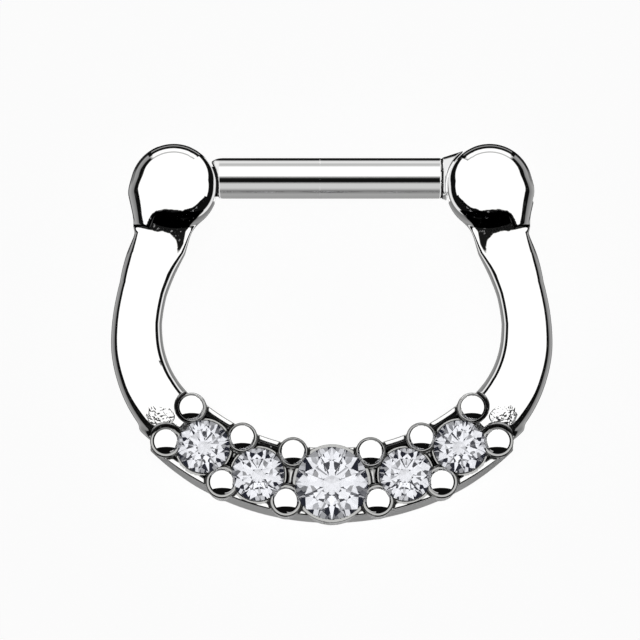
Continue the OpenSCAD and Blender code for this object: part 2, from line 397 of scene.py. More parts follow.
def hoopDistance(x, y, z):
    half = np.abs(x)
    r = np.hypot(half, y - baseY)
    turn = np.arctan2(half, baseY - y)
    frontBlend, outerBlend, innerBlend = hoop["neckBlend"]
    fine, backBlend = hoop["fineBlend"], hoop["backBlend"]
    outward = np.clip((half - ballX) / hoop["blendAcross"] + 0.5, 0, 1)
    sideBlend = innerBlend + (outerBlend - innerBlend) * outward
    blend = frontBlend + (sideBlend - frontBlend) * np.exp(-(((z - midZ) / hoop["blendDepth"]) ** 2))
    balls = smoothMin(ballDistance(half, y, z), ridgeDistance(half, y, z), hoop["wallBlend"])
    arms = smoothMin(armDistance(half, y, z), balls, blend)
    back = np.maximum(backHeight(turn) - z, -z)
    plate = smoothMin(plateDistance(r, turn, z), collarsDistance(half, y, z), fine)
    settingMetal = smoothMin(plate, shoulderDistance(r, turn, z), setting["sideBlend"])
    metal = smoothMin(arms, smoothMax(settingMetal, back, backBlend), hoop["armBlend"])
    posts, nearPost = postsDistance(half, y, z)
    postGroove = np.minimum(setting["grooveW"] - nearPost, z - setting["grooveZ"])
    metal = smoothMax(metal, postGroove, setting["grooveBlend"])
    metal = smoothMin(metal, smoothMax(posts, back, backBlend), fine)
    metal = smoothMax(metal, -stoneRoomDistance(half, y, z), fine)
    slots = np.where(x > 0, hingeSlotDistance(x, y, z), claspSlotDistance(x, y, z))
    slots = np.where(y > joints["lowest"], slots, farOff)
    return smoothMax(metal, -slots, hoop["slotBlend"])


bar = {
    "r": 0.618,
    "rise": 0.278,
    "edgeBlend": 2.2 * 0.22,
    "tip": -ballX + 0.76 * hoop["ballR"],
    "flareStart": 3.32,
    "flareEnd": ballX - 0.6 * hoop["ballR"],
    "flareR": 0.835,
    "grooveAt": 0.02,
    "grooveW": 0.03,
    "grooveDepth": 0.03,
    "slideGap": 0.02,
    "claspGap": 0.035,
    "tongueHalf": 0.25,
    "tongueReach": 0.3,
    # Heights of the clasp's tongue and of the hinge's link as shares of the bar's
    "claspShare": 0.7,
    "linkShare": 0.8,
    # How far the clasp's tongue lies below the bar's middle
    "claspDrop": 0.1,
    "endBlend": 0.03,
    "eyeR": 0.82,
    "eyeBoreR": 0.31,
}


def tongueDistance(x, y, z):
    barY = ballY + bar["rise"]
    half = bar["claspShare"] * bar["r"]
    start = -ballX - bar["tongueReach"] + half
    thin = np.abs(z - midZ) - bar["tongueHalf"]
    claspY = barY - bar["claspDrop"]
    clasp = segmentDistance(x, y, (start, claspY), (start + 2 * hoop["ballR"], claspY)) - half
    linkHalf = 0.75 * hoop["ballR"]
    link = boxDistance([
        np.abs(x - ballX + linkHalf) - linkHalf,
        np.abs(y - barY) - bar["linkShare"] * bar["r"],
    ])
    eye = np.hypot(x - ballX, y - ballY) - bar["eyeR"]
    flat = np.minimum(clasp, np.minimum(link, eye))
    return smoothMax(flat, thin, 0.05)


def barDistance(x, y, z):
    barY = ballY + bar["rise"]
    across = np.hypot(y - barY, z - midZ)
    flareRun = bar["flareEnd"] - bar["flareStart"]
    flare = np.clip((x - bar["flareStart"]) / flareRun, 0, 1.2) * (bar["flareR"] - bar["r"])
    fromGroove = x - bar["flareStart"] - bar["grooveAt"]
    groove = bar["grooveDepth"] * np.exp(-((fromGroove / bar["grooveW"]) ** 2))
    side = across - bar["r"] - flare + groove
    body = smoothMax(side, bar["tip"] - x, bar["edgeBlend"])
    body = np.maximum(body, x - bar["flareEnd"])
    hingeRoom = hoop["ballR"] + bar["slideGap"] - np.hypot(x - ballX, y - ballY)
    claspR = hoop["ballR"] + bar["claspGap"]
    claspRoom = claspR - np.hypot(x + ballX, y - ballY)
    below = np.where(y < ballY, claspR - (x + ballX), -farOff)
    body = smoothMax(body, np.maximum(np.maximum(hingeRoom, claspRoom), below), bar["endBlend"])
    whole = smoothMin(body, tongueDistance(x, y, z), bar["endBlend"])
    bore = np.hypot(x - ballX, y - ballY) - bar["eyeBoreR"]
    return np.maximum(whole, -bore)


# Distances on a grid, worked out only in blocks near the surface
def sampled(distance, low, high, pitch, block=4):
    step = pitch * block
    counts = [int(math.ceil((b - a) / step)) for a, b in zip(low, high)]
    middles = [a + (np.arange(n) + 0.5) * step for a, n in zip(low, counts)]
    coarse = distance(*(m.ravel() for m in np.meshgrid(*middles, indexing="ij"))).reshape(counts)
    band = 3 * pitch
    field = np.sign(coarse).astype(np.float32) * band
    for axis in range(3):
        field = np.repeat(field, block, axis)
    # Blocks whose middle is within 1.4 block lengths of the surface
    near = np.argwhere(np.abs(coarse) < 1.4 * step)
    inner = np.stack(np.meshgrid(*[np.arange(block)] * 3, indexing="ij"), -1).reshape(-1, 3)
    for part in np.array_split(near, max(1, len(near) // 4000)):
        cells = (part[:, None] * block + inner[None]).reshape(-1, 3)
        points = np.array(low) + (cells + 0.5) * pitch
        values = np.clip(distance(*points.T), -band, band)
        field[tuple(cells.T)] = values
    return field


def slope(distance, points, step=0.002):
    parts = []
    for axis in range(3):
        move = np.zeros(3)
        move[axis] = step
        ahead = distance(*(points + move).T)
        behind = distance(*(points - move).T)
        parts.append((ahead - behind) / (2 * step))
    return np.stack(parts, -1)


# Points moved onto the surface, by no more than most, and the surface's direction there
def settled(distance, points, most, rounds=3):
    start = points.copy()
    for _ in range(rounds):
        steep = slope(distance, points)
        size2 = np.maximum((steep**2).sum(1), 0.05)
        points = points - steep * (distance(*points.T) / size2)[:, None]
    moved = points - start
    length = np.linalg.norm(moved, axis=1)
    points = start + moved * np.minimum(1, most / np.maximum(length, 1e-9))[:, None]
    steep = slope(distance, points)
    return points, steep / np.maximum(np.linalg.norm(steep, axis=1), 1e-9)[:, None]


# How far each point sits in a crevice, from 0 in the open to 1, which sets the shade painted into crevices
def enclosed(distance, points, directions, reaches=(0.12, 0.3)):
    share = 0
    for reach in reaches:
        room = distance(*(points + reach * directions).T)
        share = np.maximum(share, 1 - np.clip(room / reach, 0, 1))
    return share


hollow = {
    # Place in Y above which the shade is painted by the necks' hollow rather than by how enclosed a
    # crevice is
    "lowest": 2,
    "armMiddle": 0.364,
    # The painted dark patch of shade that runs on down the arm: its edge, how it curves in, and where it
    # fades
    "patchEdge": -0.62,
    "patchCurve": 0.45,
    "patchReach": 0.22,
    "patchEnd": 0.65,
    "patchFade": 0.3,
    "edgeSoft": 0.03,
    # The fine painted dark line of shade where the wall ends
    "lineW": 0.035,
    "lineStrength": 1.6,
    "lineFrom": 0.2,
}


# Where shade and dark reflection are painted on the neck below each ball
def neckPaintedShade(points):
    out, down, beyond = neckPlace(np.abs(points[:, 0]), points[:, 1])
    soft = hollow["edgeSoft"]
    lean = out * math.cos(hoop["bowAngle"]) - down * math.sin(hoop["bowAngle"]) + hollow["armMiddle"]
    fall = np.exp(-np.maximum(beyond, 0) / hollow["patchReach"])
    edge = hollow["patchEdge"] + hollow["patchCurve"] * fall
    inside = np.clip((out - np.interp(down, neck["stripDown"], neck["stripOut"])) / soft + 0.5, 0, 1)
    fade = np.clip((hollow["patchEnd"] - beyond) / hollow["patchFade"], 0, 1)
    patch = np.clip((edge - lean) / soft, 0, 1) * fade * (beyond > -0.04)
    below = np.clip((down - np.interp(out, neck["hollowOut"], neck["hollowTop"])) / soft + 0.5, 0, 1)
    foot = below * np.clip((0.0 - beyond) / soft, 0, 1) * (out < 1)
    line = np.clip(hollow["lineStrength"] - np.abs(beyond) / hollow["lineW"], 0, 1)
    line = line * (lean > hollow["lineFrom"])
    return np.maximum(np.maximum(patch, foot) * inside, line)


def writeLayer(obj, name, values):
    layer = obj.data.attributes.new(name, "FLOAT", "POINT")
    layer.data.foreach_set("value", values)


def newObject(name, points, faces):
    mesh = bpy.data.meshes.new(name)
    mesh.from_pydata((points * mm).tolist(), [], faces.tolist())
    obj = bpy.data.objects.new(name, mesh)
    bpy.context.scene.collection.objects.link(obj)
    return obj


def thinned(obj, triangles):
    now = sum(len(p.vertices) - 2 for p in obj.data.polygons)
    if now <= triangles:
        return
    modifier = obj.modifiers.new("thin", "DECIMATE")
    modifier.ratio = triangles / now
    made = bpy.data.meshes.new_from_object(obj.evaluated_get(bpy.context.evaluated_depsgraph_get()))
    obj.modifiers.clear()
    old = obj.data
    obj.data = made
    bpy.data.meshes.remove(old)


# Spacing of the grids that the pieces are cast on, in millimetres
pitch = 0.034

# For each piece the box that it is cast in, its own spacing and the most triangles that it keeps
casts = {
    "hoop_metal": {
        "box": ((-6.75, -5.85, -0.06), (6.75, 5.85, 2.72)), "pitch": pitch, "triangles": 190000,
    },
    "bead_metal": {
        "box": ((-6.1, -5.6, 1.5), (6.1, -1.8, 2.25)), "pitch": pitch * 0.75, "triangles": 48000,
    },
    "bar_metal": {
        "box": ((-5.3, 3.4, 0.4), (5.8, 5.9, 2.3)), "pitch": pitch * 0.9, "triangles": 60000,
    },
}


# A closed mesh of the surface where distance is zero, with the surface's own smooth shading
def castPiece(name, distance):
    low, high = casts[name]["box"]
    pitch = casts[name]["pitch"]
    field = sampled(distance, low, high, pitch)
    grid = openvdb.FloatGrid(3 * pitch)
    grid.copyFromArray(field)
    points, quads = grid.convertToQuads(0)
    points = np.array(low) + (points.astype(float) + 0.5) * pitch
    points, _ = settled(distance, points, pitch)
    obj = newObject(name, points, quads)
    thinned(obj, casts[name]["triangles"])
    mesh = obj.data
    mesh.name = name
    flat = np.zeros(len(mesh.vertices) * 3)
    mesh.vertices.foreach_get("co", flat)
    points, directions = settled(distance, flat.reshape(-1, 3) / mm, pitch)
    points = np.clip(points, *(np.array(corner) / mm for corner in cadBox))
    mesh.vertices.foreach_set("co", (points * mm).ravel())
    mesh.shade_smooth()
    mesh.normals_split_custom_set_from_vertices(directions.tolist())
    # Painted shade: crevices are darkened in the colour by how far each point is enclosed
    writeLayer(obj, "paintedShade", enclosed(distance, points, directions))
    mesh.update()
    print(name, len(mesh.vertices), "points", len(mesh.polygons), "faces")
    return obj, points, directions


# A new material with its node tree and its shader, and one without a shader, for light
def newMaterial(name):
    material = bpy.data.materials.new(name)
    material.use_nodes = True
    tree = material.node_tree
    return material, tree, tree.nodes["Principled BSDF"]


def lightMaterial(name):
    material, tree, shader = newMaterial(name)
    tree.nodes.remove(shader)
    return material, tree


def addNode(tree, kind, inputs=None, **settings):
    node = tree.nodes.new(kind)
    for key, value in settings.items():
        setattr(node, key, value)
    for key, value in (inputs or {}).items():
        if isinstance(value, bpy.types.NodeSocket):
            tree.links.new(value, node.inputs[key])
        else:
            node.inputs[key].default_value = value
    return node


def mathNode(tree, operation, *values):
    return addNode(tree, "ShaderNodeMath", dict(enumerate(values)), operation=operation).outputs[0]


def rampNode(tree, factor, stops):
    node = addNode(tree, "ShaderNodeValToRGB", {"Fac": factor})
    elements = node.color_ramp.elements
    while len(elements) < len(stops):
        elements.new(0.5)
    for element, (place, shade) in zip(elements, sorted(stops)):
        element.position = place
        element.color = (*(shade if isinstance(shade, tuple) else (shade,) * 3), 1)
    return node.outputs["Color"]


steelFinishAndShade = {
    "cloudScale": 900.0,
    "grainScale": 9000.0,
    "roughness": (0.015, 0.05),
    "satinRoughness": 0.3,
    "grainHeight": 0.00002,
    "chasedHeight": 0.00018,
    # Painted shade: colour darkened by how deep in a crevice a place is, and how pale it is at a slant
    "colours": [
        (0.0, (0.95, 0.95, 0.945)),
        (0.4, (0.94, 0.94, 0.93)),
        (0.66, (0.38, 0.38, 0.37)),
        (0.88, (0.008, 0.008, 0.008)),
    ],
    "slants": [(0.0, 1.0), (0.4, 1.0), (0.66, 0.6), (0.88, 0.0)],
    # Painted glints: pale specks in the painted shade of the hollow
    "glint": (0.3, 0.3, 0.3, 1),
    "glintShare": (0.62, 0.72),
    "glintDepth": (0.93, 0.97),
}


def attributeNode(tree, name):
    return addNode(tree, "ShaderNodeAttribute", attribute_name=name).outputs["Fac"]


def placeNode(tree):
    return addNode(tree, "ShaderNodeTexCoord").outputs["Object"]


def noiseNode(tree, place, scale, detail):
    inputs = {"Vector": place, "Scale": scale, "Detail": detail}
    return addNode(tree, "ShaderNodeTexNoise", inputs).outputs["Fac"]


def between(tree, value, limits):
    return addNode(tree, "ShaderNodeMapRange", {"Value": value, 1: limits[0], 2: limits[1]}).outputs[0]


def polishedSteel():
    material, tree, shader = newMaterial("polished_steel")
    place = placeNode(tree)
    cloud = noiseNode(tree, place, steelFinishAndShade["cloudScale"], 3.0)
    grain = noiseNode(tree, place, steelFinishAndShade["grainScale"], 2.0)
    smooth, dull = steelFinishAndShade["roughness"]
    shine = addNode(tree, "ShaderNodeMapRange", {"Value": cloud, 3: smooth, 4: dull}).outputs[0]
    satin = attributeNode(tree, "satin")
    rough = mathNode(tree, "MULTIPLY_ADD", satin, steelFinishAndShade["satinRoughness"], shine)
    tree.links.new(rough, shader.inputs["Roughness"])
    inputs = {"Strength": 0.02, "Distance": steelFinishAndShade["grainHeight"], "Height": grain}
    bump = addNode(tree, "ShaderNodeBump", inputs)
    marks = noiseNode(tree, place, steelFinishAndShade["grainScale"], 1.0)
    height = mathNode(tree, "MULTIPLY", marks, attributeNode(tree, "chased"))
    inputs = {"Strength": 1.0, "Distance": steelFinishAndShade["chasedHeight"], "Height": height}
    cut = addNode(tree, "ShaderNodeBump", {**inputs, "Normal": bump.outputs[0]})
    tree.links.new(cut.outputs[0], shader.inputs["Normal"])
    paintedShade = attributeNode(tree, "paintedShade")
    shade = rampNode(tree, paintedShade, steelFinishAndShade["colours"])
    # Painted glints: pale specks where the painted shade is deepest
    paintedGlintNoise = noiseNode(tree, place, steelFinishAndShade["grainScale"], 3.0)
    glint = between(tree, paintedGlintNoise, steelFinishAndShade["glintShare"])
    deep = between(tree, paintedShade, steelFinishAndShade["glintDepth"])
    share = mathNode(tree, "MULTIPLY", glint, deep)
    lit = addNode(tree, "ShaderNodeMix", {0: share, 6: shade, 7: steelFinishAndShade["glint"]}, data_type="RGBA")
    tree.links.new(lit.outputs[2], shader.inputs["Base Color"])
    # Places with painted shade stay dark at a slant too
    slant = rampNode(tree, paintedShade, steelFinishAndShade["slants"])
    tree.links.new(slant, shader.inputs["Specular Tint"])
    shader.inputs["Metallic"].default_value = 1
    return material


pinFinish = {"scale": 5000.0, "roughness": (0.2, 0.35), "colour": (0.72, 0.72, 0.73, 1)}
stoneFinish = {"scale": 2500.0, "roughness": (0.0, 0.008), "colour": (0.97, 0.975, 1, 1), "ior": 2.16}


# A material of one colour whose roughness varies a little from place to place
def plainFinish(name, finish):
    material, tree, shader = newMaterial(name)
    haze = noiseNode(tree, placeNode(tree), finish["scale"], 2.0)
    low, high = finish["roughness"]
    shine = addNode(tree, "ShaderNodeMapRange", {"Value": haze, 3: low, 4: high})
    tree.links.new(shine.outputs[0], shader.inputs["Roughness"])
    shader.inputs["Base Color"].default_value = finish["colour"]
    return material, shader


def pinSteel():
    material, shader = plainFinish("pin_steel", pinFinish)
    shader.inputs["Metallic"].default_value = 1
    return material


def clearStone():
    material, shader = plainFinish("clear_stone", stoneFinish)
    shader.inputs["Transmission Weight"].default_value = 1
    shader.inputs["IOR"].default_value = stoneFinish["ior"]
    return material


def paintNode(name, material):
    mesh = frame["nodes"][name].data
    mesh.materials.clear()
    mesh.materials.append(material)


# Places on the hoop that have a finish of their own, and shoulders with painted shade
hoopFinishAndShade = {
    # The setting's side walls, below the rails; slopes are the Z part of the surface's direction
    "satinSlope": 0.6,
    "satinTop": 1.3,
    "satinFromY": -0.5,
    "satinFromR": 5.8,
    "satinTurn": 0.76,
    # Chased marks on each arm's end: middle and half lengths of the oval
    "chasedAt": (5.13, -2.6),
    "chasedSize": (0.4, 0.3),
    "chasedSlope": 0.4,
    # How dark the shade painted on the shoulders of posts and collars is, and how near to them and from
    # where in Z
    "shoulderShade": 0.62,
    "postsBelow": -2,
    "postNear": 0.01,
    "postFrom": 1.4,
    "collarNear": 0.03,
    "collarFrom": 1.3,
}

steel = polishedSteel()
hoopPiece, points, directions = castPiece("hoop_metal", hoopDistance)
hoopPiece.data.materials.append(steel)
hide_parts("hoop")
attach(hoopPiece, "ring")
half, y, z = np.abs(points[:, 0]), points[:, 1], points[:, 2]
walls = (y < hoopFinishAndShade["satinFromY"]) & (z < hoopFinishAndShade["satinTop"])
walls &= np.abs(directions[:, 2]) < hoopFinishAndShade["satinSlope"]
walls &= np.hypot(half, y - baseY) > hoopFinishAndShade["satinFromR"]
walls &= np.arctan2(half, baseY - y) < hoopFinishAndShade["satinTurn"]
writeLayer(hoopPiece, "satin", walls.astype(float))
(markX, markY), (markLong, markHigh) = hoopFinishAndShade["chasedAt"], hoopFinishAndShade["chasedSize"]
marked = np.hypot((half - markX) / markLong, (y - markY) / markHigh) < 1
marked &= directions[:, 2] > hoopFinishAndShade["chasedSlope"]
writeLayer(hoopPiece, "chased", marked.astype(float))
# Painted shade: the necks' dark hollow above, crevices darkened by how enclosed they are below
paintedShade = np.where(y > hollow["lowest"], neckPaintedShade(points), enclosed(hoopDistance, points, directions))
# Painted shade: the shoulders of the posts and the stones' collars are painted darker than the beads
_, nearPost = postsDistance(half, y, z)
dull = (nearPost < hoopFinishAndShade["postNear"]) & (z > hoopFinishAndShade["postFrom"]) & (y < hoopFinishAndShade["postsBelow"])
for stone, wall in zip(stones, setting["collarW"]):
    across = np.hypot(half - stone["x"], y - stone["y"])
    dull |= (across < stone["r"] + wall + hoopFinishAndShade["collarNear"]) & (z > hoopFinishAndShade["collarFrom"])
paintedShade = np.where(dull, np.maximum(paintedShade, hoopFinishAndShade["shoulderShade"]), paintedShade)
hoopPiece.data.attributes["paintedShade"].data.foreach_set("value", paintedShade)

beadPiece, points, directions = castPiece("bead_metal", beadsDistance)
beadPiece.data.materials.append(steel)
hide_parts("hoop")
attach(beadPiece, "ring")

barPiece, points, directions = castPiece("bar_metal", barDistance)
barPiece.data.materials.append(steel)
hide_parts("bar")
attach(barPiece, "bar")
# Painted shade on the bar: the tongue's root in the clasp's gap, and the groove before the flare
barPaintedShade = {"tongueDark": (-0.012, 0.12), "grooveDark": 0.036}
x, y = points[:, 0], points[:, 1]
claspDepth = hoop["ballR"] + bar["claspGap"] - np.hypot(x + ballX, y - ballY)
tongue = (claspDepth > barPaintedShade["tongueDark"][0]) & (claspDepth < barPaintedShade["tongueDark"][1])
groove = np.abs(x - bar["flareStart"] - bar["grooveAt"]) < barPaintedShade["grooveDark"]
barPiece.data.attributes["paintedShade"].data.foreach_set("value", np.where(tongue | groove, 0.9, 0.0))
# The metal pieces don't show in each other
for piece in (hoopPiece, beadPiece, barPiece):
    piece.visible_glossy = False

paintNode("hinge_pin", pinSteel())
glass = clearStone()
for name in frame["nodes"]:
    if name.endswith("_stone"):
        paintNode(name, glass)
print("pieces made and finished")


# The photo looks at the ring from six degrees below square, with a long lens
photo = {
    "tilt": math.radians(6),
    "target": (-0.356, 0.403, 1.33),
    "pixels": 640,
    "mmPerPixel": 0.0303,
    "lens": 200.0,
    "sensor": 36.0,
}


def makeCamera():
    data = bpy.data.cameras.new("camera")
    data.lens = photo["lens"]
    data.sensor_width = photo["sensor"]
    data.clip_start = 0.001
    data.clip_end = 10
    camera = bpy.data.objects.new("camera", data)
    bpy.context.scene.collection.objects.link(camera)
    width = photo["pixels"] * photo["mmPerPixel"]
    away = width * photo["lens"] / photo["sensor"]
    back = Vector((0, -math.sin(photo["tilt"]), math.cos(photo["tilt"])))
    camera.location = (Vector(photo["target"]) + away * back) * mm
    camera.rotation_euler = (photo["tilt"], 0, 0)
    bpy.context.scene.camera = camera


paperFloor = {
    # Side of the square, in metres
    "size": 0.4,
    # How far below the ring it lies, in millimetres
    "drop": 0.01,
    "grainScale": 300.0,
    "grain": [(0.3, 0.16), (0.7, 0.165)],
    "glow": 0.945,
}


def makeFloor():
    points = np.array([(-1, -1, 0), (1, -1, 0), (1, 1, 0), (-1, 1, 0)]) * paperFloor["size"] / 2 / mm
    floor = newObject("floor", points, np.array([(0, 1, 2, 3)]))
    floor.location.z = -paperFloor["drop"] * mm
    material, tree, shader = newMaterial("paper")
    grain = noiseNode(tree, placeNode(tree), paperFloor["grainScale"], 3.0)
    shade = rampNode(tree, grain, paperFloor["grain"])
    tree.links.new(shade, shader.inputs["Base Color"])
    shader.inputs["Roughness"].default_value = 1
    shader.inputs["Specular IOR Level"].default_value = 0
    shader.inputs["Emission Color"].default_value = (1, 1, 1, 1)
    shader.inputs["Emission Strength"].default_value = paperFloor["glow"]
    floor.data.materials.append(material)
    floor.visible_glossy = False


# A card's own light by height in millimetres. Beyond a place in Y its shades fall away and spread.
def glowing(name, stops, low, high, top, far):
    material, tree = lightMaterial(name)
    parts = addNode(tree, "ShaderNodeSeparateXYZ", {0: placeNode(tree)}).outputs
    height = mathNode(tree, "SUBTRACT", parts[2], top * mm)
    past = mathNode(tree, "MAXIMUM", mathNode(tree, "SUBTRACT", parts[1], far["fallFrom"] * mm), 0.0)
    fallen = mathNode(tree, "MULTIPLY_ADD", past, far["fall"], height)
    past = mathNode(tree, "MAXIMUM", mathNode(tree, "SUBTRACT", parts[1], far["spreadFrom"] * mm), 0.0)
    spread = mathNode(tree, "MULTIPLY_ADD", past, far["spread"] / mm, 1.0)
    below = mathNode(tree, "DIVIDE", fallen, spread)
    shade = rampNode(tree, between(tree, below, (low * mm, high * mm)), stops)
    light = addNode(tree, "ShaderNodeEmission", {"Color": shade, "Strength": 1.0})
    tree.links.new(light.outputs[0], tree.nodes["Material Output"].inputs["Surface"])
    return material


# A card or shell of the studio that only reflections show
def onlyReflected(obj, material):
    obj.data.materials.append(material)
    for kind in ("camera", "diffuse", "transmission", "volume_scatter", "shadow"):
        setattr(obj, "visible_" + kind, False)


# A card across the middle keeps each half from seeing the other half's side of the room
divider = {
    # In the plane of the lens, where the bar doesn't show it
    "x": photo["target"][0],
    "low": -40.0,
    # Each stretch in Y with the card's height there
    "stretches": [(-16.0, -3.1, -0.1), (-3.1, 3.2, 1.1), (3.2, 10.9, 2.2)],
    # The level up to which the balls show the card dark, and its shades below and above that
    "dark": 1.15,
    "shades": [
        (-11.0, 0.3), (-4.15, 0.2), (-3.85, 0.24), (-3.55, 0.85), (-2.15, 0.85), (-1.9, 0.005),
        (-0.02, 0.005), (0.08, 1.1), (5.0, 1.1),
    ],
    "far": {"fallFrom": 5.5, "fall": 0.75, "spreadFrom": 4.9, "spread": 0.25},
}


def makeDivider():
    points = []
    for start, end, top in divider["stretches"]:
        corners = [(start, divider["low"]), (end, divider["low"]), (end, top), (start, top)]
        points += [(divider["x"], y, z) for y, z in corners]
    low, high = divider["shades"][0][0], divider["shades"][-1][0]
    shade = [((height - low) / (high - low), value) for height, value in divider["shades"]]
    paper = glowing("divider_paper", shade, low, high, divider["dark"], divider["far"])
    faces = np.arange(len(points)).reshape(-1, 4)
    card = newObject("divider", np.array(points, float), faces)
    onlyReflected(card, paper)


def grey(value):
    return (value, value, value, 1)


# The white and the black that the room has for polished metal
white = 1.12
black = 0.004


# What the hoop shows, by how far its surface leans away from the lens, from 0 to 1
ringRoom = {
    # Where the dark rim starts, by the lean's way, from straight down to straight up
    "rimStart": [
        (0.0, 0.57), (0.07, 0.58), (0.13, 0.63), (0.275, 0.68), (0.35, 0.73), (0.5, 0.745),
        (0.78, 0.765), (1.0, 0.8),
    ],
    "rimSoft": (-0.004, 0.012),
    "rimEnd": (0.84, 0.858),
    # Low down the rim waves, has a few glints and ends later
    "low": (-0.88, -0.74),
    "wave": (0.06, -0.03),
    "clutter": 22.0,
    "glints": [(0.0, black), (0.58, black), (0.72, 0.05)],
    "lowEnd": -0.1,
    # Beyond the rim: at the sides, higher up with a dark outline, and low down
    "outside": [
        (0.0, 0.2), (0.84, 0.2), (0.88, 0.25), (0.93, 0.34), (0.965, 0.41), (0.982, 0.05), (1.0, 0.03),
    ],
    "outlined": [
        (0.0, 0.24), (0.84, 0.24), (0.89, 0.31), (0.92, 0.36), (0.935, 0.02), (0.975, 0.01), (1.0, 0.1),
    ],
    "outlinedFrom": (0.2, 0.5),
    "outsideLow": [(0.0, 0.004), (0.95, 0.004), (0.975, 0.4), (1.0, 0.45)],
    # Thin lines above
    "above": [
        (0.0, white), (0.775, white), (0.785, 0.5), (0.805, 0.5), (0.815, white), (0.875, white),
        (0.887, black), (0.928, black), (0.937, 0.3), (0.948, 0.3), (0.957, black), (1.0, black),
    ],
    "aboveFrom": (0.76, 0.84),
    # The dark patch in which the side's dark lines and the ones above meet
    "meetAt": 0.8,
    "meetWidth": (0.02, 0.035),
    "meetFrom": (0.86, 0.875),
}

barRoom = {
    # From the straight bar's lower edge to its upper one
    "bands": [
        (0.0, 0.42), (0.03, 0.33), (0.1, 0.38), (0.16, 0.24), (0.19, 0.2), (0.225, 0.45), (0.26, 0.63),
        (0.355, 0.63), (0.385, 0.28), (0.4, 0.012), (0.43, 0.004), (0.475, 0.008), (0.5, 0.05),
        (0.53, 0.5), (0.56, white), (0.77, white), (0.8, 0.62), (0.83, 0.5), (0.86, 0.62), (0.89, 0.85),
        (0.92, 0.7), (0.94, 0.05), (0.955, 0.002), (1.0, 0.01),
    ],
    # The flare before the hinge faces the pale side of the room, but for its upper edge
    "flare": 0.9,
    "flareFrom": (0.12, 0.2),
    "flareBelow": (0.8, 0.86),
    # Swung out or seen from its end, the bar shows the bands on the room's two sides
    "swung": [
        (0.0, 0.9), (0.5, 0.9), (0.53, 0.012), (0.64, 0.004), (0.68, 0.6), (0.8, 0.63), (0.84, 0.3),
        (0.93, 0.4), (0.95, 0.02), (1.0, 0.01),
    ],
    "swungFrom": (0.42, 0.46),
}

beadRoom = {
    # The edge of the dark crescent below the pale face, and how it bows
    "crescent": (0.29, 0.31),
    "bow": -0.45,
    # The dark edge, by the lean's way, and the thin pale outline
    "edge": [(0.0, black), (0.75, black), (0.9, 0.15), (1.0, 0.2)],
    "edgeFrom": (0.78, 0.8),
    "outline": 0.35,
    "outlineFrom": (0.975, 0.99),
}

stoneRoom = {
    # What the facets reflect: soft straight ahead, dark beyond
    "facets": [(0.0, 0.45), (0.2, 0.4), (0.32, 0.12), (0.7, 0.02), (1.0, 0.2)],
    # What comes back through the stones, by degrees from the line to the lens
    "zones": [
        (0, 1.3), (8, 1.25), (9, 1.12), (15.5, 1.12), (16.5, 0.02), (19.5, 0.02), (20.5, 1.25),
        (23.5, 1.25), (24.5, 0.02), (27.5, 0.02), (28.5, 0.42), (31.5, 0.46), (33, 0.76), (35.5, 0.8),
        (36.5, 1.0), (40.5, 1.0), (41.5, 0.015), (180, 0.015),
    ],
    "cool": (0.99, 0.995, 1.02),
    # A little blue stays in the zones darker than this
    "night": (0.0, 0.002, 0.014),
    "darkBelow": 0.1,
}


